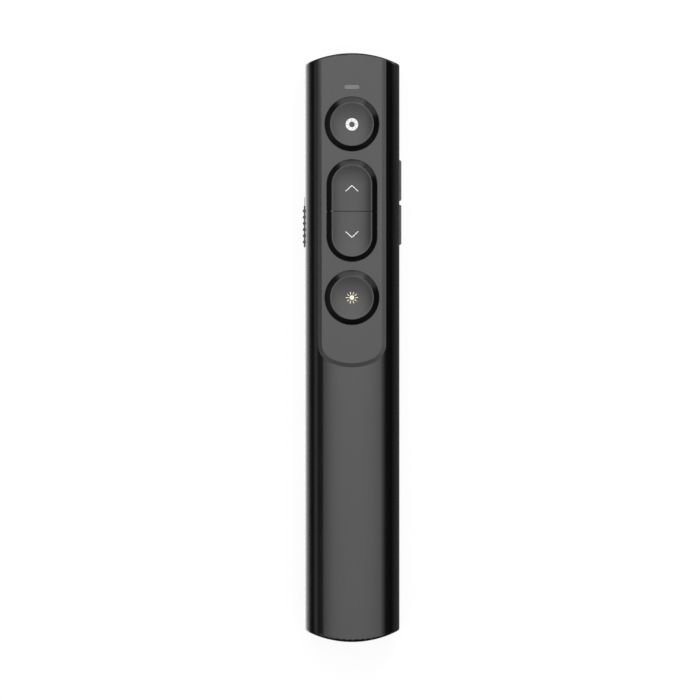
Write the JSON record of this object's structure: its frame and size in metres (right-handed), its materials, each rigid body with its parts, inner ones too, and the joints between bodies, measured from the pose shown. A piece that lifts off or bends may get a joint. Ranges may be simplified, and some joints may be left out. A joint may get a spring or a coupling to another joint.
{
  "type": "wireless presentation clicker",
  "caption": "Slim handheld wireless presenter: round and page keys on a raised panel, side keys, power slider, laser end window, battery door and plug-in receiver.",
  "frame": {"origin": "on the flat back that it rests on, halfway along the body and on its middle line", "axes": "+Z out of the control face, +Y along the body towards the laser end, +X across it towards the two side keys"},
  "size_m": [0.0241, 0.144, 0.0165],
  "materials": {
    "shell_plastic": "fine moulded satin, near black",
    "panel_plastic": "fine moulded satin, near black",
    "key_plastic": "satin, near black",
    "side_key_plastic": "satin, dark grey",
    "slider_plastic": "satin, near black",
    "screw_steel": "dark zinc plated",
    "circuit_board": "green solder mask",
    "component_black": "moulded component bodies",
    "component_metal": "tinned steel",
    "component_white": "white component plastic",
    "clear_guide": "frosted light guide",
    "barrel_brass": "turned brass",
    "laser_glass": "clear window and lens",
    "plunger_white": "switch plungers",
    "cell_wrap": "plain printed sleeve",
    "contact_metal": "nickel plated spring steel",
    "receiver_plastic": "satin, near black"
  },
  "bodies": {
    "casing": {"upper_shell": "shell_plastic", "lower_shell": "shell_plastic", "control_panel": "panel_plastic", "case_screws": "screw_steel", "board_screws": "screw_steel", "main_board": "circuit_board", "radio_chip": "component_black", "crystal": "component_metal", "indicator_led": "component_white", "light_guide": "clear_guide", "laser_barrel": "barrel_brass", "laser_lens": "laser_glass", "laser_diode": "component_metal", "laser_window": "laser_glass", "mode_switch": "component_black", "page_up_switch": "component_black", "page_down_switch": "component_black", "laser_switch": "component_black", "upper_side_switch": "component_black", "lower_side_switch": "component_black", "power_switch": "component_metal", "battery_cell": "cell_wrap", "positive_contact": "contact_metal", "negative_contact": "contact_metal", "negative_spring": "contact_metal"},
    "mode_key": {"mode_key": "key_plastic", "mode_plunger": "plunger_white"},
    "page_up_key": {"page_up_key": "key_plastic", "page_up_plunger": "plunger_white"},
    "page_down_key": {"page_down_key": "key_plastic", "page_down_plunger": "plunger_white"},
    "laser_key": {"laser_key": "key_plastic", "laser_plunger": "plunger_white"},
    "upper_side_key": {"upper_side_key": "side_key_plastic", "upper_side_plunger": "plunger_white"},
    "lower_side_key": {"lower_side_key": "side_key_plastic", "lower_side_plunger": "plunger_white"},
    "power_slider": {"power_slider": "slider_plastic", "power_switch_lever": "component_black"},
    "battery_door": {"battery_door": "shell_plastic"},
    "usb_receiver": {"receiver_cap": "receiver_plastic", "receiver_plug": "component_metal", "receiver_contacts": "component_white"}
  },
  "joints": [
    {"name": "mode_key_push", "type": "slide", "parent": "casing", "child": "mode_key", "axis": [0, 0, -1], "range_m": [0, 0.0004], "stiffness_N_per_m": 1200},
    {"name": "page_up_push", "type": "slide", "parent": "casing", "child": "page_up_key", "axis": [0, 0, -1], "range_m": [0, 0.0004], "stiffness_N_per_m": 1200},
    {"name": "page_down_push", "type": "slide", "parent": "casing", "child": "page_down_key", "axis": [0, 0, -1], "range_m": [0, 0.0004], "stiffness_N_per_m": 1200},
    {"name": "laser_key_push", "type": "slide", "parent": "casing", "child": "laser_key", "axis": [0, 0, -1], "range_m": [0, 0.0004], "stiffness_N_per_m": 1200},
    {"name": "upper_side_push", "type": "slide", "parent": "casing", "child": "upper_side_key", "axis": [-1, 0, 0], "range_m": [0, 0.00035], "stiffness_N_per_m": 1200},
    {"name": "lower_side_push", "type": "slide", "parent": "casing", "child": "lower_side_key", "axis": [-1, 0, 0], "range_m": [0, 0.00035], "stiffness_N_per_m": 1200},
    {"name": "power_slide", "type": "slide", "parent": "casing", "child": "power_slider", "axis": [0, 1, 0], "range_m": [0, 0.002]},
    {"name": "door_slide", "type": "slide", "parent": "casing", "child": "battery_door", "axis": [0, -1, 0], "range_m": [0, 0.068]},
    {"name": "receiver_slide", "type": "slide", "parent": "casing", "child": "usb_receiver", "axis": [0, -1, 0], "range_m": [0, 0.018]}
  ]
}
